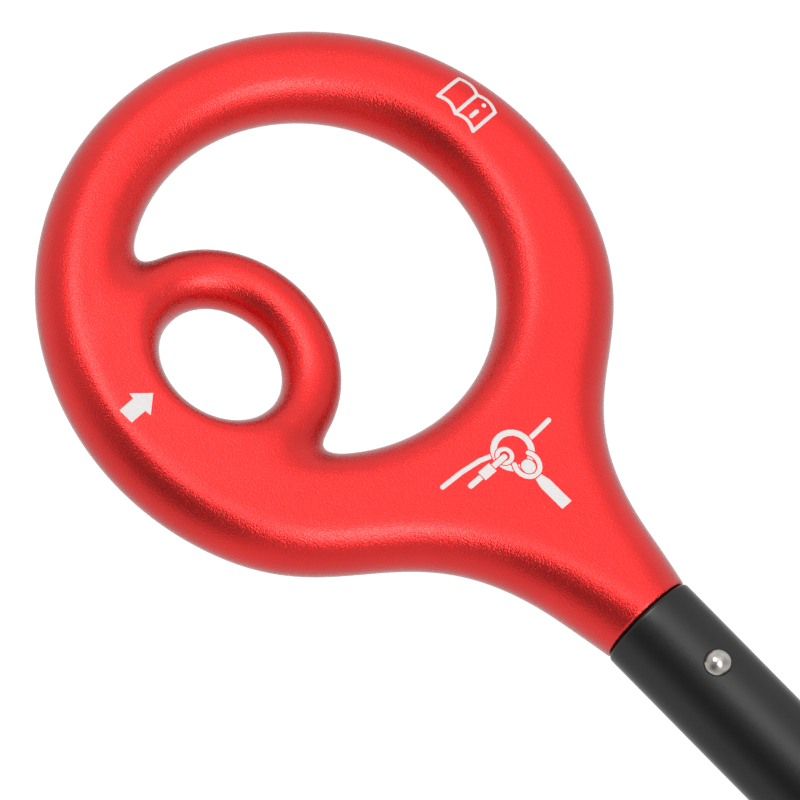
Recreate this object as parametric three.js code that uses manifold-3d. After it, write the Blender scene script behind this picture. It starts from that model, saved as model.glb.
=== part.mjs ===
// Handled rope descender: a one-piece forged ring with a carabiner eye set inside it, whose neck
// carries a tubular handle. Millimetres, +Z up. The ring lies flat in the XY plane, the handle
// runs along +X, the eye is on the -Y side, and the origin is the centre of the whole body's box.
import * as THREE from "three";
import { mergeVertices } from "three/addons/utils/BufferGeometryUtils.js";
import Module from "manifold-3d";

const wasm = await Module();
wasm.setup();

// Driving dimensions. Those of the ring are measured from the centre of its outer circle.
const CLEARANCE = 0.3; // between any two pieces

const RING_OUTER_R = 55.4;
const OPENING_CENTRE = new THREE.Vector2(-4.2, 0.8); // off centre, so the band is wider at the neck
const OPENING_LONG_SEMI = 34.9; // slightly out of round
const OPENING_SHORT_SEMI = 34.2;
const OPENING_TURN = THREE.MathUtils.degToRad(45);
const BODY_THICKNESS = 16.3;
const EDGE_R = 8; // the band's edges are rounded almost to a half circle

const EYE_CENTRE = new THREE.Vector2(-4.65, -23.5);
const EYE_SEMI_X = 18.1; // the oval centreline of the eye's round bar
const EYE_UPPER_SEMI_Y = 16.1;
const EYE_LOWER_SEMI_Y = 18.6; // deeper, where the bar runs inside the ring's band
const EYE_BAR_R = 5.6;

const AXIS_Y = 1.6; // the handle's axis, beside the ring's centre
const SHOULDER_ANGLE = THREE.MathUtils.degToRad(66); // where the outer circle gives way to the neck
const SHOULDER_REACH = 27; // how long the outline holds the circle's direction there
const WAIST_X = 74; // where the neck's sides stop curving inwards
const WAIST_HALF_WIDTH = 12;
const WAIST_REACH = 33.5;
const UPPER_WAIST_SLOPE = -0.18;
const LOWER_WAIST_SLOPE = -0.22;
const NECK_END_X = 84.7;
const NECK_END_R = 9.8;
const NECK_END_CHAMFER = 0.7;
const NECK_CORE_LENGTH = 30; // how far the neck's round end reaches back into the flat fan

const TUBE_OUTER_R = 10;
const TUBE_WALL = 2;
const TUBE_LENGTH = 105.5;
const TUBE_LIP_R = 1; // the rounded outer corner of the end that meets the neck
const TUBE_TAIL_CHAMFER = 0.4;
const BORE_CHAMFER = 0.5;
const TUBE_START_X = NECK_END_X + CLEARANCE;
const TUBE_END_X = TUBE_START_X + TUBE_LENGTH;
const BORE_R = TUBE_OUTER_R - TUBE_WALL;

const SPIGOT_R = BORE_R - CLEARANCE;
const SPIGOT_LENGTH = 36;
const SPIGOT_CHAMFER = 1.2;

const RIVET_X = NECK_END_X + 16.6;
const RIVET_SHANK_R = 1.5;
const RIVET_HEAD_R = 2.9; // level with the tube's crest; 2.75 where it meets the seat's gap
const RIVET_HEAD_HEIGHT = 1.87;
const RIVET_HEAD_SKIRT = 1.6; // how far a head's straight side reaches down over the tube's curve

const PLUG_FLANGE = 3;
const PLUG_LIP_R = 1.2;
const PLUG_STEM_LENGTH = 14;
const PLUG_CORE_R = 6.4;
const PLUG_TIP_R = 5.6;
const PLUG_FIN_WIDTH = 1.6;
const PLUG_FIN_COUNT = 3;
const PLUG_END_X = TUBE_END_X + CLEARANCE + PLUG_FLANGE;

// Facets. The outer circle's arc takes 12 degrees for each curve step, so that its corners fall
// on the X and Y directions and its facets reach its full width.
const OUTLINE_STEPS = 19;
const EDGE_STEPS = 5;
const BAR_LENGTH_STEPS = 48;
const BAR_ROUND_STEPS = 14;
const ROUND_STEPS = 36;
const CORNER_STEPS = 3;
const DOME_STEPS = 5;
const CORE_STEPS = 6;
const SHANK_STEPS = 20;

const CUT_LENGTH = 4 * TUBE_OUTER_R; // longer than anything that it cuts

// A geometry as a manifold solid: only its positions, merged, without collapsed triangles.
function solid(geometry) {
  const bare = geometry.index ? geometry.toNonIndexed() : geometry.clone();
  bare.deleteAttribute("normal");
  bare.deleteAttribute("uv");
  const merged = mergeVertices(bare, 1e-4);
  const corners = merged.index.array;
  const triangles = [];
  for (let i = 0; i < corners.length; i += 3) {
    const [a, b, c] = corners.slice(i, i + 3);
    if (a !== b && b !== c && c !== a) triangles.push(a, b, c);
  }
  return new wasm.Manifold(
    new wasm.Mesh({
      numProp: 3,
      vertProperties: merged.attributes.position.array,
      triVerts: new Uint32Array(triangles),
    }),
  );
}

// A manifold solid as a flat-shaded geometry.
function geometryOf(body) {
  const mesh = body.getMesh();
  const geometry = new THREE.BufferGeometry();
  geometry.setAttribute("position", new THREE.BufferAttribute(mesh.vertProperties, 3));
  geometry.setIndex(new THREE.BufferAttribute(mesh.triVerts, 1));
  const faceted = geometry.toNonIndexed();
  faceted.computeVertexNormals();
  return faceted;
}

// A profile of (radius, distance) points turned about the handle's axis.
function turnedAboutHandle(profile) {
  return new THREE.LatheGeometry(profile, ROUND_STEPS)
    .rotateZ(-Math.PI / 2)
    .translate(0, AXIS_Y, 0);
}

// Points of a quarter-round corner between two angles, about a centre in profile space.
function corner(centreR, centreX, radius, from, to) {
  return Array.from({ length: CORNER_STEPS + 1 }, (_, i) => {
    const angle = from + ((to - from) * i) / CORNER_STEPS;
    return new THREE.Vector2(
      centreR + radius * Math.cos(angle),
      centreX + radius * Math.sin(angle),
    );
  });
}

// A cylinder across the handle at the rivet, along Z.
function crossCylinder(radius, length) {
  return new THREE.CylinderGeometry(radius, radius, length, SHANK_STEPS)
    .rotateX(Math.PI / 2)
    .translate(RIVET_X, AXIS_Y, 0);
}

// One side of the neck, from the ring's shoulder to the waist. side is +1 or -1 in Y.
function neckSide(side, waistSlope) {
  const start = new THREE.Vector2(
    RING_OUTER_R * Math.cos(SHOULDER_ANGLE),
    side * RING_OUTER_R * Math.sin(SHOULDER_ANGLE),
  );
  const along = new THREE.Vector2(Math.sin(SHOULDER_ANGLE), -side * Math.cos(SHOULDER_ANGLE));
  const waist = new THREE.Vector2(WAIST_X, AXIS_Y + side * WAIST_HALF_WIDTH);
  const inwards = new THREE.Vector2(1, side * waistSlope).normalize();
  return [
    start,
    start.clone().addScaledVector(along, SHOULDER_REACH),
    waist.clone().addScaledVector(inwards, -WAIST_REACH),
    waist,
  ];
}

// The plan outline of the ring and its neck, with the main opening as a hole. A half-round nose
// closes it past the neck's end, where the plate is cut off.
function bodyOutline() {
  const upper = neckSide(1, UPPER_WAIST_SLOPE);
  const lower = neckSide(-1, LOWER_WAIST_SLOPE);
  const taperX = (WAIST_X + NECK_END_X) / 2;
  const taper = (side, slope) =>
    new THREE.Vector2(taperX, AXIS_Y + side * (WAIST_HALF_WIDTH + slope * (taperX - WAIST_X)));
  const upperTaper = taper(1, UPPER_WAIST_SLOPE);
  const lowerTaper = taper(-1, LOWER_WAIST_SLOPE);
  const outline = new THREE.Shape();
  outline.moveTo(NECK_END_X, AXIS_Y - NECK_END_R);
  outline.absarc(NECK_END_X, AXIS_Y, NECK_END_R, -Math.PI / 2, Math.PI / 2, false);
  outline.quadraticCurveTo(upperTaper.x, upperTaper.y, upper[3].x, upper[3].y);
  outline.bezierCurveTo(upper[2].x, upper[2].y, upper[1].x, upper[1].y, upper[0].x, upper[0].y);
  outline.absarc(0, 0, RING_OUTER_R, SHOULDER_ANGLE, 2 * Math.PI - SHOULDER_ANGLE, false);
  outline.bezierCurveTo(lower[1].x, lower[1].y, lower[2].x, lower[2].y, lower[3].x, lower[3].y);
  outline.quadraticCurveTo(lowerTaper.x, lowerTaper.y, NECK_END_X, AXIS_Y - NECK_END_R);
  const opening = new THREE.Path();
  opening.absellipse(
    OPENING_CENTRE.x,
    OPENING_CENTRE.y,
    OPENING_LONG_SEMI,
    OPENING_SHORT_SEMI,
    0,
    2 * Math.PI,
    true,
    OPENING_TURN,
  );
  outline.holes.push(opening);
  return outline;
}

// The ring and neck as a plate whose edges, inside and out, are rounded over.
function ringPlate() {
  const flat = BODY_THICKNESS - 2 * EDGE_R;
  const plate = new THREE.ExtrudeGeometry(bodyOutline(), {
    depth: flat,
    curveSegments: OUTLINE_STEPS,
    bevelThickness: EDGE_R,
    bevelSize: EDGE_R,
    bevelOffset: -EDGE_R,
    bevelSegments: EDGE_STEPS,
  }).translate(0, 0, -flat / 2);
  const cutX = NECK_END_X - NECK_END_CHAMFER;
  const nose = new THREE.BoxGeometry(CUT_LENGTH, CUT_LENGTH, CUT_LENGTH);
  nose.translate(cutX + CUT_LENGTH / 2, AXIS_Y, 0);
  return solid(plate).subtract(solid(nose));
}

// The eye's bar: a round torus whose section is carried out to an oval centreline.
function eyeBar() {
  const mean = (EYE_SEMI_X + EYE_UPPER_SEMI_Y) / 2;
  const bar = new THREE.TorusGeometry(mean, EYE_BAR_R, BAR_ROUND_STEPS, BAR_LENGTH_STEPS);
  const place = bar.attributes.position;
  for (let i = 0; i < place.count; i++) {
    const turn = Math.atan2(place.getY(i), place.getX(i));
    const offset = Math.hypot(place.getX(i), place.getY(i)) - mean;
    const semiY = turn < 0 ? EYE_LOWER_SEMI_Y : EYE_UPPER_SEMI_Y;
    const normal = new THREE.Vector2(
      semiY * Math.cos(turn),
      EYE_SEMI_X * Math.sin(turn),
    ).normalize();
    place.setXY(
      i,
      EYE_CENTRE.x + EYE_SEMI_X * Math.cos(turn) + offset * normal.x,
      EYE_CENTRE.y + semiY * Math.sin(turn) + offset * normal.y,
    );
  }
  return bar;
}

// The neck's round end and the spigot that the handle is pushed on to, in one turned shape. Its
// core swells out of the flat fan on a quarter of an oval.
function neckEndAndSpigot() {
  const shoulderX = NECK_END_X - NECK_END_CHAMFER;
  const spigotEnd = NECK_END_X + SPIGOT_LENGTH;
  const core = Array.from({ length: CORE_STEPS + 1 }, (_, i) => {
    const angle = (Math.PI / 2) * (i / CORE_STEPS);
    return new THREE.Vector2(
      NECK_END_R * Math.sin(angle),
      shoulderX - NECK_CORE_LENGTH * Math.cos(angle),
    );
  });
  return turnedAboutHandle([
    ...core,
    new THREE.Vector2(NECK_END_R - NECK_END_CHAMFER, NECK_END_X),
    new THREE.Vector2(SPIGOT_R, NECK_END_X),
    new THREE.Vector2(SPIGOT_R, spigotEnd - SPIGOT_CHAMFER),
    new THREE.Vector2(SPIGOT_R - SPIGOT_CHAMFER, spigotEnd),
    new THREE.Vector2(0, spigotEnd),
  ]);
}

function ringBody() {
  const rivetHole = crossCylinder(RIVET_SHANK_R + CLEARANCE, CUT_LENGTH);
  return ringPlate()
    .add(solid(eyeBar()))
    .add(solid(neckEndAndSpigot()))
    .subtract(solid(rivetHole));
}

function handleTube() {
  const lipCentreR = TUBE_OUTER_R - TUBE_LIP_R;
  const lip = corner(lipCentreR, TUBE_START_X + TUBE_LIP_R, TUBE_LIP_R, -Math.PI / 2, 0);
  const start = new THREE.Vector2(BORE_R + BORE_CHAMFER, TUBE_START_X);
  const tube = turnedAboutHandle([
    start,
    ...lip,
    new THREE.Vector2(TUBE_OUTER_R, TUBE_END_X - TUBE_TAIL_CHAMFER),
    new THREE.Vector2(TUBE_OUTER_R - TUBE_TAIL_CHAMFER, TUBE_END_X),
    new THREE.Vector2(BORE_R + BORE_CHAMFER, TUBE_END_X),
    new THREE.Vector2(BORE_R, TUBE_END_X - BORE_CHAMFER),
    new THREE.Vector2(BORE_R, TUBE_START_X + BORE_CHAMFER),
    start.clone(),
  ]);
  const rivetHole = crossCylinder(RIVET_SHANK_R + CLEARANCE, CUT_LENGTH);
  return solid(tube).subtract(solid(rivetHole));
}

// One domed rivet head, on the +Z side, before its underside is fitted to the tube.
function rivetDome() {
  const crown = TUBE_OUTER_R + RIVET_HEAD_HEIGHT;
  const domeR = (RIVET_HEAD_R ** 2 + RIVET_HEAD_HEIGHT ** 2) / (2 * RIVET_HEAD_HEIGHT);
  const edgeAngle = Math.acos(RIVET_HEAD_R / domeR);
  const cap = Array.from({ length: DOME_STEPS + 1 }, (_, i) => {
    const angle = edgeAngle + ((Math.PI / 2 - edgeAngle) * i) / DOME_STEPS;
    return new THREE.Vector2(domeR * Math.cos(angle), crown - domeR + domeR * Math.sin(angle));
  });
  cap[DOME_STEPS].x = 0;
  const foot = TUBE_OUTER_R - RIVET_HEAD_SKIRT;
  const profile = [new THREE.Vector2(0, foot), new THREE.Vector2(RIVET_HEAD_R, foot), ...cap];
  return new THREE.LatheGeometry(profile, ROUND_STEPS)
    .rotateX(Math.PI / 2)
    .translate(RIVET_X, AXIS_Y, 0);
}

// A through rivet: its shank crosses the tube and the spigot, with a head on either side.
function handleRivet() {
  const seat = new THREE.CylinderGeometry(
    TUBE_OUTER_R + CLEARANCE,
    TUBE_OUTER_R + CLEARANCE,
    4 * RIVET_HEAD_R,
    4 * ROUND_STEPS,
  )
    .rotateZ(Math.PI / 2)
    .translate(RIVET_X, AXIS_Y, 0);
  const turnedOver = rivetDome()
    .translate(-RIVET_X, -AXIS_Y, 0)
    .rotateX(Math.PI)
    .translate(RIVET_X, AXIS_Y, 0);
  const shank = crossCylinder(RIVET_SHANK_R, 2 * (TUBE_OUTER_R + RIVET_HEAD_HEIGHT / 2));
  return solid(rivetDome()).add(solid(turnedOver)).subtract(solid(seat)).add(solid(shank));
}

// The push-in end plug: a finned stem in the bore, and a flange as wide as the tube.
function endPlug() {
  const stemEnd = TUBE_END_X - PLUG_STEM_LENGTH;
  const flangeX = TUBE_END_X + CLEARANCE;
  const pitch = (PLUG_STEM_LENGTH - PLUG_FIN_WIDTH) / PLUG_FIN_COUNT;
  const profile = [new THREE.Vector2(0, stemEnd)];
  for (let fin = 0; fin < PLUG_FIN_COUNT; fin++) {
    const x = stemEnd + fin * pitch;
    profile.push(
      new THREE.Vector2(fin ? PLUG_CORE_R : PLUG_TIP_R, x),
      new THREE.Vector2(SPIGOT_R, x + PLUG_FIN_WIDTH / 2),
      new THREE.Vector2(SPIGOT_R, x + PLUG_FIN_WIDTH),
      new THREE.Vector2(PLUG_CORE_R, x + PLUG_FIN_WIDTH),
    );
  }
  profile.push(
    new THREE.Vector2(PLUG_CORE_R, flangeX),
    new THREE.Vector2(TUBE_OUTER_R, flangeX),
    ...corner(TUBE_OUTER_R - PLUG_LIP_R, PLUG_END_X - PLUG_LIP_R, PLUG_LIP_R, 0, Math.PI / 2),
    new THREE.Vector2(0, PLUG_END_X),
  );
  return solid(turnedAboutHandle(profile));
}

const redAnodised = new THREE.MeshStandardMaterial({
  color: 0xd8222a,
  metalness: 0.75,
  roughness: 0.42,
});
const blackAnodised = new THREE.MeshStandardMaterial({
  color: 0x1c1c1d,
  metalness: 0.6,
  roughness: 0.38,
});
const polishedSteel = new THREE.MeshStandardMaterial({
  color: 0xd2d0cc,
  metalness: 1,
  roughness: 0.12,
});
const blackPlastic = new THREE.MeshStandardMaterial({
  color: 0x18181a,
  metalness: 0,
  roughness: 0.55,
});

function piece(name, body, material) {
  const mesh = new THREE.Mesh(geometryOf(body), material);
  mesh.name = name;
  return mesh;
}

const descender = new THREE.Group();
descender.position.x = -(PLUG_END_X - RING_OUTER_R) / 2;
descender.add(
  piece("ring_body", ringBody(), redAnodised),
  piece("handle_tube", handleTube(), blackAnodised),
  piece("handle_rivet", handleRivet(), polishedSteel),
  piece("end_plug", endPlug(), blackPlastic),
);

export default descender;
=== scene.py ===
import math

import bpy
import numpy as np
from mathutils import Matrix, Vector


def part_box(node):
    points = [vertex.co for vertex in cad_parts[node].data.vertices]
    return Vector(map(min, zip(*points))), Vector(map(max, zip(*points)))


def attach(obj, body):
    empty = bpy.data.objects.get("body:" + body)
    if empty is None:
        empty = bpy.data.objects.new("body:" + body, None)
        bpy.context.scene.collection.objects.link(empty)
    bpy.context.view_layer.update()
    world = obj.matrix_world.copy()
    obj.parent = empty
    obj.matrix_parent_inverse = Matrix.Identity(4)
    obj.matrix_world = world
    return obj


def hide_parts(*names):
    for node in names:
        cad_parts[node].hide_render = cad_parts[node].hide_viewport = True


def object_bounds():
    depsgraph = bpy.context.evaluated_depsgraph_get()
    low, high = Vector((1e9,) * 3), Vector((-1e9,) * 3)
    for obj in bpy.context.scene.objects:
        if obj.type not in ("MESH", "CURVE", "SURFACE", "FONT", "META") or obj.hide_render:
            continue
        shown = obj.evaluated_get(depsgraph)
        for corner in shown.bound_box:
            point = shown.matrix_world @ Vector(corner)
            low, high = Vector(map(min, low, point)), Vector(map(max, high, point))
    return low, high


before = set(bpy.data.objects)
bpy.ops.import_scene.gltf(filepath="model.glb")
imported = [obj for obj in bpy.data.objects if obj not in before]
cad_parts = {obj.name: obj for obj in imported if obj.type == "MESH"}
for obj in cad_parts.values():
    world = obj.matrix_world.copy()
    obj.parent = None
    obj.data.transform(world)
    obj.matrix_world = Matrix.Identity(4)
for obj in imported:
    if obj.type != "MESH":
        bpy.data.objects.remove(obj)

# The looks of the handled rope descender. Shapes are worked out in millimetres in the ring's own
# frame: the outer circle's centre, X along the handle, Y away from the eye, Z up out of the ring.
# to_row() turns them into the row's frame, in metres.
MM = 0.001

cad_low, cad_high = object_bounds()

# Driving dimensions, as in the CAD model. The main opening and the eye's bar are ovals, given by a
# centre and half axes. The eye's bar reaches further on its lower side, away from the opening.
RING_OUTER_R = 55.4
OPENING_CENTRE = (-4.2, 0.8)
OPENING_SEMI = (34.9, 34.2)
OPENING_TURN = math.radians(45)
HALF_THICKNESS = 8.15
EYE_CENTRE = (-4.65, -23.5)
EYE_SEMI = (18.1, 16.1)
EYE_LOWER_SEMI_Y = 18.6
EYE_BAR_R = 5.6

# The neck: it leaves the ring at the shoulders, narrows to the waist and ends round.
SHOULDER_ANGLE = math.radians(66)
SHOULDER_REACH = 27
WAIST_X = 74
WAIST_HALF_WIDTH = 12.0
WAIST_REACH = 33.5
UPPER_WAIST_SLOPE = -0.18
LOWER_WAIST_SLOPE = -0.22
NECK_END_R = 9.8
NECK_SWELL_START = 52

# The handle. SPIGOT_GAP is from the tube's outside to the spigot: the wall and the clearance.
CLEARANCE = 0.3
SPIGOT_LENGTH = 36
SPIGOT_GAP = 2.3
RIVET_SHANK_R = 1.5
TUBE_LIP_R = 1.0
SEAM = 0.1

# How finely shapes are drawn.
SIDE_STEPS = 60
TAPER_STEPS = 16
SKIN_STEP = 0.6
SKIN_MARGIN = 1.3
TUBE_SEGMENTS = 96
RIVET_SEGMENTS = 64

# A laser mark's outline step, and how far its layer stands out of and reaches into the surface.
MARK_STEP = 0.1
MARK_RISE = 0.025
MARK_SINK = 0.05

# Places that come from the frame.
ring_low, ring_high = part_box("ring_body")
tube_low, tube_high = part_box("handle_tube")
rivet_low, rivet_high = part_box("handle_rivet")
plug_low, plug_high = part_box("end_plug")
RING_CENTRE = Vector((
    ring_low[0] + RING_OUTER_R * MM,
    (ring_low[1] + ring_high[1]) / 2,
    (ring_low[2] + ring_high[2]) / 2,
))
TUBE_R = (tube_high[2] - tube_low[2]) / 2 / MM
TUBE_START_X = (tube_low[0] - RING_CENTRE.x) / MM
TUBE_END_X = (tube_high[0] - RING_CENTRE.x) / MM
NECK_END_X = TUBE_START_X - CLEARANCE
AXIS_Y = ((tube_low[1] + tube_high[1]) / 2 - RING_CENTRE.y) / MM
RIVET_X = ((rivet_low[0] + rivet_high[0]) / 2 - RING_CENTRE.x) / MM
RIVET_R = (rivet_high[0] - rivet_low[0]) / 2 / MM
RIVET_TOP = (rivet_high[2] - RING_CENTRE.z) / MM
PLUG_START_X = (plug_low[0] - RING_CENTRE.x) / MM
PLUG_END_X = (plug_high[0] - RING_CENTRE.x) / MM


def to_row(points):
    """Points of the ring's frame, in millimetres, as row-frame points in metres."""
    return np.asarray(points, float) * MM + np.array(RING_CENTRE)


def new_piece(name, points, faces, material):
    """A mesh object from ring-frame points and faces, riding on the part's one body."""
    mesh = bpy.data.meshes.new(name)
    mesh.from_pydata(to_row(points).tolist(), [], faces)
    mesh.update()
    mesh.validate()
    mesh.shade_smooth()
    mesh.materials.append(material)
    piece = bpy.data.objects.new(name, mesh)
    bpy.context.scene.collection.objects.link(piece)
    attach(piece, "root")
    return piece


# ---------------------------------------------------------------- materials

def principled(name):
    """A new material, with its nodes, links and shader."""
    material = bpy.data.materials.new(name)
    material.use_nodes = True
    tree = material.node_tree
    return material, tree.nodes, tree.links, tree.nodes["Principled BSDF"]


def object_noise(nodes, links, scale, detail=2):
    """A noise texture fixed to the piece, with its features about 1/scale metres apart."""
    place = nodes.new("ShaderNodeTexCoord")
    noise = nodes.new("ShaderNodeTexNoise")
    noise.inputs["Scale"].default_value = scale
    noise.inputs["Detail"].default_value = detail
    noise.inputs["Roughness"].default_value = 0.5
    links.new(place.outputs["Object"], noise.inputs["Vector"])
    return noise.outputs["Fac"]


def ramp(nodes, links, fac, low, high, start, end):
    """A two-colour ramp between two places of a 0 to 1 value."""
    node = nodes.new("ShaderNodeValToRGB")
    node.color_ramp.elements[0].position = start
    node.color_ramp.elements[0].color = (*low, 1)
    node.color_ramp.elements[1].position = end
    node.color_ramp.elements[1].color = (*high, 1)
    links.new(fac, node.inputs["Fac"])
    return node.outputs["Color"]


def spread(nodes, links, fac, low, high, start, end):
    """A value carried from the range start to end on to the range low to high."""
    node = nodes.new("ShaderNodeMapRange")
    node.inputs["From Min"].default_value = start
    node.inputs["From Max"].default_value = end
    node.inputs["To Min"].default_value = low
    node.inputs["To Max"].default_value = high
    links.new(fac, node.inputs["Value"])
    return node.outputs["Result"]


def bump(nodes, links, height, shader, distance):
    """A bump of real depth, in metres, on a shader. Returns the bumped normal."""
    node = nodes.new("ShaderNodeBump")
    node.inputs["Strength"].default_value = 1.0
    node.inputs["Distance"].default_value = distance
    links.new(height, node.inputs["Height"])
    links.new(node.outputs["Normal"], shader.inputs["Normal"])
    return node.outputs["Normal"]


def red_anodised():
    """Bead-blasted aluminium under a clear red oxide: a satin metal with a fine sparkling grain."""
    material, nodes, links, shader = principled("red_anodised")
    shader.inputs["Metallic"].default_value = 1.0
    shader.inputs["Specular Tint"].default_value = (0.4, 0.4, 0.4, 1)
    shader.inputs["Coat Weight"].default_value = 1.0
    shader.inputs["Coat IOR"].default_value = 1.35
    shader.inputs["Coat Roughness"].default_value = 0.26
    cloud = object_noise(nodes, links, 60, detail=4)
    colour = ramp(nodes, links, cloud, (0.51, 0.003, 0.0026), (0.57, 0.0046, 0.004), 0.35, 0.65)
    links.new(colour, shader.inputs["Base Color"])
    grain = object_noise(nodes, links, 3200)
    satin = spread(nodes, links, grain, 0.22, 0.3, 0.3, 0.7)
    links.new(satin, shader.inputs["Roughness"])
    blasted = bump(nodes, links, grain, shader, 0.00009)
    links.new(blasted, shader.inputs["Coat Normal"])
    return material


def black_anodised():
    """Drawn tube, anodised black: smooth, with a soft gloss that doesn't flare at its edges."""
    material, nodes, links, shader = principled("black_anodised")
    shader.inputs["Metallic"].default_value = 1.0
    shader.inputs["Specular Tint"].default_value = (0.75, 0.75, 0.75, 1)
    cloud = object_noise(nodes, links, 45, detail=3)
    colour = ramp(nodes, links, cloud, (0.029, 0.029, 0.0286), (0.033, 0.033, 0.0326), 0.35, 0.65)
    links.new(colour, shader.inputs["Base Color"])
    fine = object_noise(nodes, links, 1500)
    satin = spread(nodes, links, fine, 0.27, 0.3, 0.3, 0.7)
    links.new(satin, shader.inputs["Roughness"])
    bump(nodes, links, fine, shader, 0.000001)
    return material


def polished_steel():
    """The rivet's hand-polished steel, with the faint dents of its setting."""
    material, nodes, links, shader = principled("polished_steel")
    shader.inputs["Metallic"].default_value = 1.0
    cloud = object_noise(nodes, links, 700, detail=3)
    colour = ramp(nodes, links, cloud, (0.27, 0.252, 0.238), (0.38, 0.362, 0.345), 0.35, 0.65)
    links.new(colour, shader.inputs["Base Color"])
    satin = spread(nodes, links, cloud, 0.1, 0.2, 0.3, 0.7)
    links.new(satin, shader.inputs["Roughness"])
    bump(nodes, links, cloud, shader, 0.00005)
    return material


def black_plastic():
    """Moulded plastic with a fine spark-eroded texture."""
    material, nodes, links, shader = principled("black_plastic")
    texture = object_noise(nodes, links, 2200)
    colour = ramp(nodes, links, texture, (0.012, 0.012, 0.0125), (0.02, 0.02, 0.021), 0.3, 0.7)
    links.new(colour, shader.inputs["Base Color"])
    satin = spread(nodes, links, texture, 0.45, 0.6, 0.3, 0.7)
    links.new(satin, shader.inputs["Roughness"])
    bump(nodes, links, texture, shader, 0.00003)
    return material


def laser_mark():
    """The pale, chalky tint that a laser leaves where it bleaches the dye."""
    material, nodes, links, shader = principled("laser_mark")
    speck = object_noise(nodes, links, 2600, detail=3)
    colour = ramp(nodes, links, speck, (0.335, 0.322, 0.316), (0.37, 0.357, 0.35), 0.3, 0.6)
    links.new(colour, shader.inputs["Base Color"])
    shader.inputs["Roughness"].default_value = 0.6
    bump(nodes, links, speck, shader, 0.00001)
    return material


# ---------------------------------------------------------------- the ring's shape

def bezier(points, steps):
    """A cubic curve's points, its last one left out."""
    t = np.linspace(0, 1, steps, endpoint=False)[:, None]
    a, b, c, d = (np.array(p, float) for p in points)
    return (1 - t) ** 3 * a + 3 * (1 - t) ** 2 * t * b + 3 * (1 - t) * t**2 * c + t**3 * d


def neck_side(side, slope):
    """One side of the neck from shoulder to waist. side is +1 or -1 in Y."""
    cos, sin = math.cos(SHOULDER_ANGLE), math.sin(SHOULDER_ANGLE)
    start = np.array([RING_OUTER_R * cos, side * RING_OUTER_R * sin])
    waist = np.array([WAIST_X, AXIS_Y + side * WAIST_HALF_WIDTH])
    inwards = np.array([1, side * slope]) / math.hypot(1, slope)
    return [
        start,
        start + SHOULDER_REACH * np.array([sin, -side * cos]),
        waist - WAIST_REACH * inwards,
        waist,
    ]


def taper(side, slope):
    """The neck's last stretch on one side, from the waist to its round end, as a cubic curve."""
    waist = np.array([WAIST_X, AXIS_Y + side * WAIST_HALF_WIDTH])
    end = np.array([NECK_END_X, AXIS_Y + side * NECK_END_R])
    middle_x = (WAIST_X + NECK_END_X) / 2
    middle = np.array([middle_x, waist[1] + side * slope * (middle_x - WAIST_X)])
    return [waist, waist + (middle - waist) * 2 / 3, end + (middle - end) * 2 / 3, end]


def body_outline():
    """The ring and neck in plan. Past its end the neck goes on as a bar, which is cut off later."""
    overrun = NECK_END_X + 2 * NECK_END_R
    turn = np.radians(np.arange(math.degrees(SHOULDER_ANGLE), 360 - math.degrees(SHOULDER_ANGLE)))
    arc = RING_OUTER_R * np.column_stack([np.cos(turn), np.sin(turn)])
    upper = np.vstack([
        bezier(neck_side(1, UPPER_WAIST_SLOPE), SIDE_STEPS),
        bezier(taper(1, UPPER_WAIST_SLOPE), TAPER_STEPS),
        [[NECK_END_X, AXIS_Y + NECK_END_R], [overrun, AXIS_Y + NECK_END_R]],
    ])
    lower = np.vstack([
        bezier(neck_side(-1, LOWER_WAIST_SLOPE), SIDE_STEPS),
        bezier(taper(-1, LOWER_WAIST_SLOPE), TAPER_STEPS),
        [[NECK_END_X, AXIS_Y - NECK_END_R], [overrun, AXIS_Y - NECK_END_R]],
    ])
    return np.vstack([arc[1:], lower, upper[::-1]])


def depth_inside(outline, x, y):
    """How far each point lies inside a closed outline; negative outside it."""
    a, b = outline, np.roll(outline, -1, axis=0)
    run = b - a
    length2 = np.maximum((run**2).sum(1), 1e-12)
    flat_x, flat_y = x.ravel(), y.ravel()
    depth = np.empty(flat_x.size)
    chunk = 4096
    for first in range(0, flat_x.size, chunk):
        px = flat_x[first:first + chunk, None]
        py = flat_y[first:first + chunk, None]
        t = ((px - a[:, 0]) * run[:, 0] + (py - a[:, 1]) * run[:, 1]) / length2
        t = np.clip(t, 0, 1)
        dx = px - a[:, 0] - t * run[:, 0]
        dy = py - a[:, 1] - t * run[:, 1]
        nearest = np.sqrt((dx * dx + dy * dy).min(axis=1))
        spans = (a[:, 1] > py) != (b[:, 1] > py)
        with np.errstate(divide="ignore", invalid="ignore"):
            crossing = a[:, 0] + (py - a[:, 1]) * run[:, 0] / run[:, 1]
        inside = (spans & (px < crossing)).sum(axis=1) % 2
        depth[first:first + chunk] = np.where(inside == 1, nearest, -nearest)
    return depth.reshape(x.shape)


def smooth_step(value, low, high):
    """0 at low and 1 at high, with a soft start and end. Low may be the larger number."""
    t = np.clip((value - low) / (high - low), 0, 1)
    return t * t * (3 - 2 * t)


def smooth_min(a, b, reach):
    """The lower of two fields, with the corner between them filled over a reach."""
    h = np.clip(0.5 + 0.5 * (b - a) / reach, 0, 1)
    return b * (1 - h) + a * h - reach * h * (1 - h)


def oval_distance(x, y, centre, semi, lower_semi_y=None):
    """The distance to an oval's line: negative inside it. Its lower half may reach further."""
    semi_y = semi[1] if lower_semi_y is None else np.where(y < centre[1], lower_semi_y, semi[1])
    px, py = (x - centre[0]) / semi[0], (y - centre[1]) / semi_y
    k0 = np.hypot(px, py)
    k1 = np.maximum(np.hypot(px / semi[0], py / semi_y), 1e-9)
    return k0 * (k0 - 1) / k1


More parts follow.
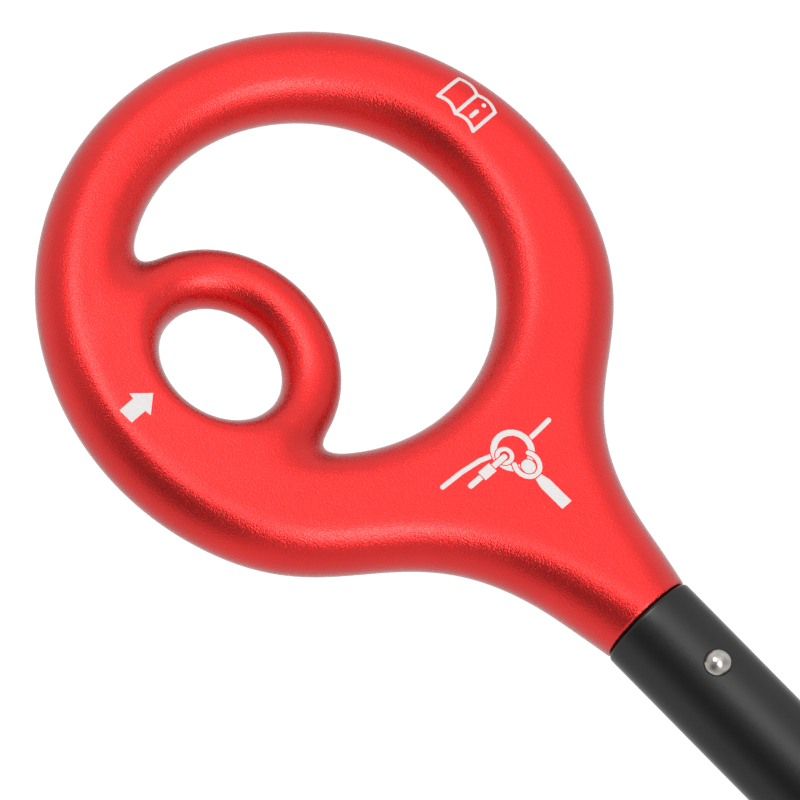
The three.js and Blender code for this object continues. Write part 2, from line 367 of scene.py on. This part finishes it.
class RingField:
    """A field that is negative inside the forging, its plan depth sampled once and looked up."""

    # The grid on which the plan depth is sampled.
    STEP = 0.5
    LOW = (-57.0, -57.0)
    HIGH = (124.0, 57.0)

    # The plate's edge round the eye: half axes of the oval that it keeps clear of, and how widely
    # that edge runs into the plate's other edges.
    EYE_RELIEF = (16.2, 13.2)
    EYE_RELIEF_LOWER_Y = 12.1
    WEB_ROUND = 4.0

    # The eye's bar: how widely it flows into the plate, and how much its half height grows between
    # two places in Y, towards the ring's rim.
    EYE_BLEND = 5.9
    BAR_RISE = 2.0
    BAR_RISE_Y = (-12.0, -30.0)

    # The spigot, which starts inside the neck, and the roundings of the flats and the neck's end.
    SPIGOT_R = 7.7
    SPIGOT_ROOT = 8
    END_ROUND = 0.4
    TOP_ROUND = 0.6

    # The search for the top surface: where it starts, and how often the range is halved.
    HIGHEST = 12.0
    HALVINGS = 30

    def __init__(self):
        self.xs = np.arange(self.LOW[0], self.HIGH[0] + self.STEP, self.STEP)
        self.ys = np.arange(self.LOW[1], self.HIGH[1] + self.STEP, self.STEP)
        x, y = np.meshgrid(self.xs, self.ys, indexing="ij")
        outer = depth_inside(body_outline(), x, y)
        cos, sin = math.cos(OPENING_TURN), math.sin(OPENING_TURN)
        from_x, from_y = x - OPENING_CENTRE[0], y - OPENING_CENTRE[1]
        turned_x, turned_y = from_x * cos + from_y * sin, from_y * cos - from_x * sin
        hole = oval_distance(turned_x, turned_y, (0, 0), OPENING_SEMI)
        eye_hole = oval_distance(x, y, EYE_CENTRE, self.EYE_RELIEF, self.EYE_RELIEF_LOWER_Y)
        self.depth = smooth_min(np.minimum(outer, hole), eye_hole, self.WEB_ROUND)

    def depth_at(self, x, y):
        """The plan depth at any points, read between the samples."""
        fx = np.clip((x - self.xs[0]) / self.STEP, 0, len(self.xs) - 1.001)
        fy = np.clip((y - self.ys[0]) / self.STEP, 0, len(self.ys) - 1.001)
        i, j = fx.astype(int), fy.astype(int)
        u, v = fx - i, fy - j
        d = self.depth
        near = d[i, j] * (1 - u) + d[i + 1, j] * u
        far = d[i, j + 1] * (1 - u) + d[i + 1, j + 1] * u
        return near * (1 - v) + far * v

    def flat_drop(self, x):
        """How far the top lies below the neck's round end."""
        return (NECK_END_R - HALF_THICKNESS) * (1 - smooth_step(x, NECK_SWELL_START, NECK_END_X))

    def plate(self, x, z, depth):
        """The ring and neck, their edges rounded over, swelling into the neck's round end."""
        half = NECK_END_R - self.flat_drop(x)
        edge = np.maximum(half - depth, 0) / half
        return (np.hypot(edge, z / half) - 1) * half

    def value(self, x, y, z, depth=None):
        """The field: plate and bar blended, cut at the flats and the end, with a drilled spigot."""
        depth = self.depth_at(x, y) if depth is None else depth
        plate = self.plate(x, z, depth)
        line = oval_distance(x, y, EYE_CENTRE, EYE_SEMI, EYE_LOWER_SEMI_Y)
        taller = 1 + self.BAR_RISE / EYE_BAR_R * smooth_step(y, *self.BAR_RISE_Y)
        bar = np.hypot(line, z / taller) - EYE_BAR_R
        body = smooth_min(plate, bar, self.EYE_BLEND)
        body = -smooth_min(-body, NECK_END_R - np.abs(z) - self.flat_drop(x), self.TOP_ROUND)
        body = -smooth_min(-body, NECK_END_X - x, self.END_ROUND)
        spigot = np.hypot(y - AXIS_Y, z) - self.SPIGOT_R
        end = x - NECK_END_X - SPIGOT_LENGTH
        spigot = np.maximum(np.maximum(spigot, end), NECK_END_X - self.SPIGOT_ROOT - x)
        hole = RIVET_SHANK_R + CLEARANCE - np.hypot(x - RIVET_X, y - AXIS_Y)
        return np.minimum(body, np.maximum(spigot, hole))

    def height(self, x, y):
        """The top surface's height over plan points, by halving."""
        low, high = np.zeros_like(x), np.full_like(x, self.HIGHEST)
        depth = self.depth_at(x, y)
        for _ in range(self.HALVINGS):
            middle = (low + high) / 2
            inside = self.value(x, y, middle, depth) < 0
            low = np.where(inside, middle, low)
            high = np.where(inside, high, middle)
        return (low + high) / 2


def skin(field, low, high, step):
    """The surface where a field is zero, as quads: one vertex in each cell that it crosses."""
    axes = [np.arange(a, b + step, step) for a, b in zip(low, high)]
    x, y = np.meshgrid(axes[0], axes[1], indexing="ij")
    depth = field.depth_at(x, y)
    value = field.value(x[..., None], y[..., None], axes[2][None, None, :], depth[..., None])
    cells = tuple(n - 1 for n in value.shape)
    total = np.zeros(cells + (3,), np.float32)
    count = np.zeros(cells, np.float32)
    inside = value < 0
    crossings = []
    for axis in range(3):
        here = [slice(None)] * 3
        there = [slice(None)] * 3
        here[axis], there[axis] = slice(0, -1), slice(1, None)
        crosses = inside[tuple(here)] != inside[tuple(there)]
        gap = value[tuple(here)] - value[tuple(there)]
        part = value[tuple(here)] / np.where(np.abs(gap) < 1e-12, 1, gap)
        crossings.append((crosses, inside[tuple(here)]))
        side_a, side_b = [k for k in range(3) if k != axis]
        for da in (0, 1):
            for db in (0, 1):
                pick = [slice(None)] * 3
                pick[side_a] = slice(da, da + cells[side_a])
                pick[side_b] = slice(db, db + cells[side_b])
                hit = crosses[tuple(pick)]
                total[..., axis] += np.where(hit, part[tuple(pick)], 0)
                total[..., side_a] += hit * da
                total[..., side_b] += hit * db
                count += hit
    used = np.argwhere(count > 0)
    number = np.full(cells, -1, int)
    number[tuple(used.T)] = np.arange(len(used))
    offset = total[tuple(used.T)] / count[tuple(used.T)][:, None]
    points = np.array([a[0] for a in axes]) + (used + offset) * step
    faces = []
    for axis, (crosses, starts_inside) in enumerate(crossings):
        side_a, side_b = (axis + 1) % 3, (axis + 2) % 3
        at = np.argwhere(crosses)
        inner = (at[:, side_a] > 0) & (at[:, side_b] > 0)
        at = at[inner]
        back_a, back_b = np.eye(3, dtype=int)[side_a], np.eye(3, dtype=int)[side_b]
        ring = [at - back_a - back_b, at - back_b, at, at - back_a]
        quad = np.column_stack([number[tuple(c.T)] for c in ring])
        flip = ~starts_inside[tuple(at.T)]
        quad[flip] = quad[flip][:, ::-1]
        faces.append(quad)
    return points, np.vstack(faces)


def settle(field, points):
    """Moves points along the field's slope on to its zero surface, in a few short steps."""
    rounds = 3
    probe = 0.05
    longest_step = 0.3
    least_slope2 = 0.25
    for _ in range(rounds):
        x, y, z = points.T
        value = field.value(x, y, z)
        slope = np.column_stack([
            field.value(x + probe, y, z) - field.value(x - probe, y, z),
            field.value(x, y + probe, z) - field.value(x, y - probe, z),
            field.value(x, y, z + probe) - field.value(x, y, z - probe),
        ]) / (2 * probe)
        slope2 = np.maximum((slope**2).sum(1), least_slope2)
        step = np.clip(value / slope2, -longest_step, longest_step)
        points = points - slope * step[:, None]
    return points


def make_ring_body(field, material):
    """The forging, as one fine closed skin."""
    side = RING_OUTER_R + SKIN_MARGIN
    top = NECK_END_R + SKIN_MARGIN
    end = NECK_END_X + SPIGOT_LENGTH + SKIN_MARGIN
    points, faces = skin(field, (-side, -side, -top), (end, side, top), SKIN_STEP)
    points = settle(field, points)
    piece = new_piece("ring_forging", points, faces.tolist(), material)
    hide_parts("ring_body")


# ---------------------------------------------------------------- the handle

def turned(profile, segments, axis, origin):
    """A closed surface turned about an axis from (radius, distance) points. The profile either
    starts and ends on the axis or closes on itself."""
    points, faces = [], []
    closed = profile[0] == profile[-1]
    rows = profile[:-1] if closed else profile
    first_of_row = []
    for radius, along in rows:
        first_of_row.append(len(points))
        copies = 1 if radius == 0 else segments
        for k in range(copies):
            turn = 2 * math.pi * k / segments
            across = (radius * math.cos(turn), radius * math.sin(turn))
            if axis == "X":
                points.append((origin[0] + along, origin[1] + across[0], origin[2] + across[1]))
            else:
                points.append((origin[0] + across[1], origin[1] + across[0], origin[2] + along))
    pairs = list(zip(range(len(rows)), range(1, len(rows))))
    if closed:
        pairs.append((len(rows) - 1, 0))
    for a, b in pairs:
        for k in range(segments):
            n = (k + 1) % segments
            one = [first_of_row[a] + (0 if rows[a][0] == 0 else i) for i in (k, n)]
            two = [first_of_row[b] + (0 if rows[b][0] == 0 else i) for i in (n, k)]
            corners = list(dict.fromkeys(one + two))
            if len(corners) > 2:
                faces.append(corners[::-1])
    return points, faces


def quarter(centre, radius, start, end, steps):
    """Profile points of a rounded corner, by angles in degrees."""
    return [
        (
            centre[0] + radius * math.cos(math.radians(start + (end - start) * k / steps)),
            centre[1] + radius * math.sin(math.radians(start + (end - start) * k / steps)),
        )
        for k in range(steps + 1)
    ]


def make_handle_tube(material):
    """The tube, with its rounded mouth against the neck, its bore and its far end."""
    chamfer = 0.4
    end_r = 0.35
    length = TUBE_END_X - TUBE_START_X
    wall = SPIGOT_GAP - CLEARANCE
    bore = TUBE_R - wall
    start = SEAM - CLEARANCE
    profile = [(bore + chamfer, start)]
    profile += quarter((TUBE_R - TUBE_LIP_R, start + TUBE_LIP_R), TUBE_LIP_R, -90, 0, 8)
    profile += [(TUBE_R, along) for along in np.linspace(4, length - 3, 24)]
    profile += quarter((TUBE_R - end_r, length - end_r), end_r, 0, 90, 4)
    profile += [(bore + chamfer, length), (bore, length - chamfer)]
    profile += [(bore, chamfer), (bore + chamfer, start)]
    points, faces = turned(profile, TUBE_SEGMENTS, "X", (TUBE_START_X, AXIS_Y, 0))
    piece = new_piece("handle_tube_skin", points, faces, material)
    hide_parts("handle_tube")


def make_rivet(material):
    """The through rivet: a domed head above and below, each sitting on the tube's round."""
    foot = TUBE_R - 0.9
    bevel = 0.15
    bevel_top = foot + 0.2
    rise = RIVET_TOP - TUBE_R
    dome_r = (RIVET_R**2 + rise**2) / (2 * rise)
    edge = math.degrees(math.acos(RIVET_R / dome_r))
    dome = quarter((0, RIVET_TOP - dome_r), dome_r, edge, 90, 14)
    dome[-1] = (0, RIVET_TOP)
    shank = [(RIVET_SHANK_R, TUBE_R - 2.5), (RIVET_SHANK_R, foot)]
    half = shank + [(RIVET_R - bevel, foot), (RIVET_R, bevel_top)] + dome
    profile = [(r, -a) for r, a in half[::-1]] + half
    points, faces = turned(profile, RIVET_SEGMENTS, "Z", (RIVET_X, AXIS_Y, 0))
    piece = new_piece("rivet_domed", points, faces, material)
    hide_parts("handle_rivet")


def make_end_plug(material):
    """The push-in plug: a finned stem and a flange with a soft lip."""
    tip_r, stem_r, face_r = 5.6, 6.4, 6.0
    fins, pitch = 3, 4.1
    bevel = 0.2
    lip = 1.2
    flange = TUBE_END_X + CLEARANCE
    fin_r = TUBE_R - SPIGOT_GAP
    profile = [(0, PLUG_START_X), (tip_r, PLUG_START_X)]
    for fin in range(fins):
        x = PLUG_START_X + fin * pitch
        profile += [(stem_r, x + 0.1), (fin_r, x + 0.8), (fin_r, x + 1.6), (stem_r, x + 1.6)]
    profile += [(stem_r, flange), (TUBE_R - bevel, flange), (TUBE_R, flange + bevel)]
    profile += quarter((TUBE_R - lip, PLUG_END_X - lip), lip, 0, 90, 8)
    profile += [(face_r, PLUG_END_X), (0, PLUG_END_X)]
    points, faces = turned(profile, TUBE_SEGMENTS, "X", (0, AXIS_Y, 0))
    piece = new_piece("end_plug_moulded", points, faces, material)
    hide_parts("end_plug")


# ---------------------------------------------------------------- laser marks

def capsule(x, y, start, end, radius):
    """The distance to a round-ended stroke."""
    ax, ay = start
    bx, by = end
    run = (bx - ax) ** 2 + (by - ay) ** 2
    t = np.clip(((x - ax) * (bx - ax) + (y - ay) * (by - ay)) / max(run, 1e-12), 0, 1)
    return np.hypot(x - ax - t * (bx - ax), y - ay - t * (by - ay)) - radius


def stroke(x, y, route, radius):
    """A round-ended stroke along several points."""
    return np.minimum.reduce([
        capsule(x, y, start, end, radius) for start, end in zip(route, route[1:])
    ])


def hoop(x, y, centre, radius, half_width):
    """The distance to a round line of some width."""
    return np.abs(np.hypot(x - centre[0], y - centre[1]) - radius) - half_width


def slab(x, y, centre, half_x, half_y):
    """The distance to a square-cornered bar."""
    dx, dy = np.abs(x - centre[0]) - half_x, np.abs(y - centre[1]) - half_y
    return np.hypot(np.maximum(dx, 0), np.maximum(dy, 0)) + np.minimum(np.maximum(dx, dy), 0)


def over(below, above, gap):
    """One shape laid over another, with a thin gap left round it."""
    return np.minimum(np.maximum(below, gap - above), above)


def arrow_mark(x, y):
    """A solid arrow that points from the ring's rim to the eye."""
    outline = np.array([
        (-9.2, -48.2), (-5.9, -48.2), (-5.9, -44.6), (-4.6, -44.4),
        (-7.5, -40.9), (-10.4, -44.4), (-9.2, -44.6),
    ])
    return -depth_inside(outline, x, y)


def book_mark(x, y):
    """An open book with a plain dot and stem on one page: read the instructions."""
    width = 0.36
    left, spine, right = -15.3, -10.6, -5.8
    arch = 0.75
    top, foot = 49.1, 43.1
    parts = []
    for start, end in ((left, spine), (spine, right)):
        along = np.linspace(0, 1, 9)
        rise = arch * np.sin(math.pi * along)
        route_x = start + (end - start) * along
        parts.append(stroke(x, y, list(zip(route_x, top + rise)), width))
        parts.append(stroke(x, y, list(zip(route_x, foot + rise)), width))
    for at in (left, spine, right):
        parts.append(stroke(x, y, [(at, foot), (at, top)], width))
    page = (spine + right) / 2
    bar_low, bar_high, bar_width = foot + 1.9, foot + 3.4, 0.42
    dot, dot_r = (page, top - 0.65), 0.46
    parts.append(stroke(x, y, [(page, bar_low), (page, bar_high)], bar_width))
    parts.append(capsule(x, y, dot, dot, dot_r))
    return np.minimum.reduce(parts)


def rigging_mark(x, y):
    """How the part is rigged: a rope round its neck, a screw-gate connector in its eye."""
    gap = 0.2
    rope = 0.48
    ring = hoop(x, y, (45.2, 3.0), 3.6, 0.62)
    eye = hoop(x, y, (45.0, 1.05), 1.4, 0.42)
    neck = capsule(x, y, (49.3, 3.0), (49.6, 3.0), 1.3)
    grip = slab(x, y, (56.0, 3.0), 3.8, 0.6 + 0.65 * smooth_step(x, 51.0, 54.5))
    handle = smooth_min(neck, grip, 1.2)
    tail_up = stroke(x, y, [(45.6, 7.0), (45.5, 9.6), (45.3, 12.6)], rope)
    tail_down = stroke(x, y, [(43.6, -0.2), (42.6, -3.2), (42.0, -7.5), (41.8, -12.4)], rope)
    turn = np.linspace(-2.2, 2.2, 16)
    loop = stroke(x, y, [(49.0 + 2.6 * math.cos(t), 3.1 + 2.3 * math.sin(t)) for t in turn], rope)
    stem = capsule(x, y, (45.1, 0.9), (45.1, -8.1), 0.56)
    sleeve = slab(x, y, (45.1, -3.7), 1.05, 1.45)
    mark = np.minimum(tail_up, tail_down)
    for layer in (ring, loop, handle, eye, stem, sleeve):
        mark = over(mark, layer, gap)
    return mark


def traced(mark, low, high, step):
    """The inside of a plan shape as small faces, with smooth edges. Returns points and faces."""
    xs, ys = np.arange(low[0], high[0], step), np.arange(low[1], high[1], step)
    x, y = np.meshgrid(xs, ys, indexing="ij")
    value = mark(x, y)
    inside = value < 0
    busy = inside[:-1, :-1] | inside[1:, :-1] | inside[:-1, 1:] | inside[1:, 1:]
    points, faces, known = [], [], {}

    def vertex(key, place):
        """The number of a point, which is added if it is new."""
        if key not in known:
            known[key] = len(points)
            points.append(place)
        return known[key]

    for i, j in np.argwhere(busy):
        around = [(i, j), (i + 1, j), (i + 1, j + 1), (i, j + 1)]
        face = []
        for a, b in zip(around, around[1:] + around[:1]):
            if inside[a]:
                face.append(vertex(a, (xs[a[0]], ys[a[1]])))
            if inside[a] != inside[b]:
                low_end, high_end = min(a, b), max(a, b)
                part = value[low_end] / (value[low_end] - value[high_end])
                part = min(max(part, 0.02), 0.98)
                place = (
                    xs[low_end[0]] + part * (xs[high_end[0]] - xs[low_end[0]]),
                    ys[low_end[1]] + part * (ys[high_end[1]] - ys[low_end[1]]),
                )
                face.append(vertex((low_end, high_end), place))
        if len(face) > 2:
            faces.append(face)
    return np.array(points), faces


def make_mark(name, field, mark, low, high, material):
    """A plan shape as a very thin closed layer on the forging's top surface."""
    plan, faces = traced(mark, low, high, MARK_STEP)
    top = field.height(plan[:, 0], plan[:, 1])
    points = np.vstack([
        np.column_stack([plan, top + MARK_RISE]),
        np.column_stack([plan, top - MARK_SINK]),
    ])
    count = len(plan)
    edges = {}
    for face in faces:
        for a, b in zip(face, face[1:] + face[:1]):
            edges[a, b] = True
    walls = [[b, a, a + count, b + count] for a, b in edges if (b, a) not in edges]
    under = [[v + count for v in face[::-1]] for face in faces]
    new_piece(name, points, faces + under + walls, material)


# ---------------------------------------------------------------- stage, light and camera

# The camera: how far it leans from straight above, towards which side, and its roll; its distance
# and the width that it takes in there; where it aims, from the ring's centre. In metres.
VIEW_TILT = math.radians(24.8)
VIEW_TURN = math.radians(68)
VIEW_ROLL = math.radians(-45.43)
CAMERA_DISTANCE = 5.0
VIEW_WIDTH = 0.15005
AIM_RIGHT = 13.79 * MM
AIM_DOWN = 17.52 * MM


def camera_axes():
    """The picture's right and up, and the way back to the camera, as row-frame directions."""
    back = Vector((
        math.sin(VIEW_TILT) * math.cos(VIEW_TURN),
        -math.sin(VIEW_TILT) * math.sin(VIEW_TURN),
        math.cos(VIEW_TILT),
    ))
    along = Vector((1, 0, 0)) - back * back.x
    along.normalize()
    across = back.cross(along)
    right = along * math.cos(VIEW_ROLL) - across * math.sin(VIEW_ROLL)
    up = along * math.sin(VIEW_ROLL) + across * math.cos(VIEW_ROLL)
    return right, up, back


def make_camera():
    """A long lens that frames the ring and neck, with the handle running out of the picture."""
    right, up, back = camera_axes()
    data = bpy.data.cameras.new("camera")
    data.sensor_width = 36
    data.lens = data.sensor_width * CAMERA_DISTANCE / VIEW_WIDTH
    camera = bpy.data.objects.new("camera", data)
    aim = RING_CENTRE + right * AIM_RIGHT - up * AIM_DOWN
    turn = Matrix((right, up, back)).transposed().to_4x4()
    camera.matrix_world = Matrix.Translation(aim + back * CAMERA_DISTANCE) @ turn
    bpy.context.scene.collection.objects.link(camera)
    bpy.context.scene.camera = camera


# The room's own light, in levels of white. Azimuth, elevation, spread in degrees, level. A dark
# side's level is the share of the light that it takes away.
ROOM_LEVEL = 1.4
OVERHEAD = (90, 86, 17, 1.65)
DARK_SIDES = (
    (272, 36, 26, 0.82),
    (264, 73, 13, 0.5),
    (42, 38, 24, 0.3),
    (208, 3, 20, 0.3),
    (345, 5, 20, 0.22),
)

# Round softboxes that face the ring from close by. Azimuth, elevation, watts.
SOFTBOXES = (
    (355, 58, 2.5),
    (193, 67, 1.6),
)
SOFTBOX_DISTANCE = 0.6
SOFTBOX_R = 0.15


def make_floor():
    """A glowing white table under the part."""
    size = 4.0
    gap = 0.0005
    z = cad_low[2] - gap
    mesh = bpy.data.meshes.new("floor")
    corners = [(-size, -size, z), (size, -size, z), (size, size, z), (-size, size, z)]
    mesh.from_pydata(corners, [], [(0, 1, 2, 3)])
    material, _, _, shader = principled("floor")
    shader.inputs["Base Color"].default_value = (0.06, 0.06, 0.06, 1)
    shader.inputs["Roughness"].default_value = 1.0
    shader.inputs["Specular IOR Level"].default_value = 0.0
    shader.inputs["Emission Color"].default_value = (1, 1, 1, 1)
    shader.inputs["Emission Strength"].default_value = 1.06
    mesh.materials.append(material)
    floor = bpy.data.objects.new("floor", mesh)
    bpy.context.scene.collection.objects.link(floor)


def room_direction(azimuth, elevation):
    """A direction of the room, by angles in degrees, as a row-frame direction."""
    turn, lift = math.radians(azimuth), math.radians(elevation)
    return Vector((
        math.cos(lift) * math.cos(turn),
        math.cos(lift) * math.sin(turn),
        math.sin(lift),
    ))


def make_softboxes():
    """Two lit discs above the part, both turned to the ring's centre."""
    for azimuth, elevation, watts in SOFTBOXES:
        towards = room_direction(azimuth, elevation)
        data = bpy.data.lights.new("softbox", "AREA")
        data.shape = "DISK"
        data.size = 2 * SOFTBOX_R
        data.energy = watts
        lamp = bpy.data.objects.new("softbox", data)
        lamp.location = RING_CENTRE + towards * SOFTBOX_DISTANCE
        lamp.rotation_euler = towards.to_track_quat("Z", "Y").to_euler()
        bpy.context.scene.collection.objects.link(lamp)


def lobe(nodes, links, place, azimuth, elevation, spread_degrees):
    """1 towards a direction of the room, falling off softly around it."""
    facing = nodes.new("ShaderNodeVectorMath")
    facing.operation = "DOT_PRODUCT"
    facing.inputs[1].default_value = room_direction(azimuth, elevation)
    links.new(place, facing.inputs[0])
    away = arithmetic(nodes, links, "SUBTRACT", facing.outputs["Value"], 1)
    sharp = arithmetic(nodes, links, "MULTIPLY", away, math.radians(spread_degrees) ** -2)
    return arithmetic(nodes, links, "EXPONENT", sharp)


def arithmetic(nodes, links, operation, first, second=None):
    """A math node over a socket and a socket or number."""
    node = nodes.new("ShaderNodeMath")
    node.operation = operation
    links.new(first, node.inputs[0])
    if isinstance(second, (int, float)):
        node.inputs[1].default_value = second
    elif second is not None:
        links.new(second, node.inputs[1])
    return node.outputs["Value"]


def make_world():
    """A white room, brightest overhead, darkest past the eye and dimmer in a few other places."""
    world = bpy.data.worlds.new("room")
    bpy.context.scene.world = world
    world.use_nodes = True
    nodes, links = world.node_tree.nodes, world.node_tree.links
    place = nodes.new("ShaderNodeTexCoord").outputs["Generated"]
    azimuth, elevation, width, level = OVERHEAD
    overhead = lobe(nodes, links, place, azimuth, elevation, width)
    total = arithmetic(nodes, links, "MULTIPLY", overhead, level)
    total = arithmetic(nodes, links, "ADD", total, ROOM_LEVEL)
    for azimuth, elevation, width, level in DARK_SIDES:
        dark = lobe(nodes, links, place, azimuth, elevation, width)
        kept = arithmetic(nodes, links, "MULTIPLY", dark, -level)
        kept = arithmetic(nodes, links, "ADD", kept, 1)
        total = arithmetic(nodes, links, "MULTIPLY", total, kept)
    nodes["Background"].inputs["Color"].default_value = (1, 1, 1, 1)
    links.new(total, nodes["Background"].inputs["Strength"])


def main():
    """Builds the pieces and the stage round them."""
    bpy.context.scene.view_settings.view_transform = "Standard"
    field = RingField()
    red = red_anodised()
    mark = laser_mark()
    make_ring_body(field, red)
    make_handle_tube(black_anodised())
    make_rivet(polished_steel())
    make_end_plug(black_plastic())
    make_mark("mark_arrow", field, arrow_mark, (-11, -49), (-3, -40), mark)
    make_mark("mark_book", field, book_mark, (-16.5, 42), (-5, 51), mark)
    make_mark("mark_rigging", field, rigging_mark, (39, -14), (62, 14), mark)
    make_floor()
    make_world()
    make_softboxes()
    make_camera()


main()
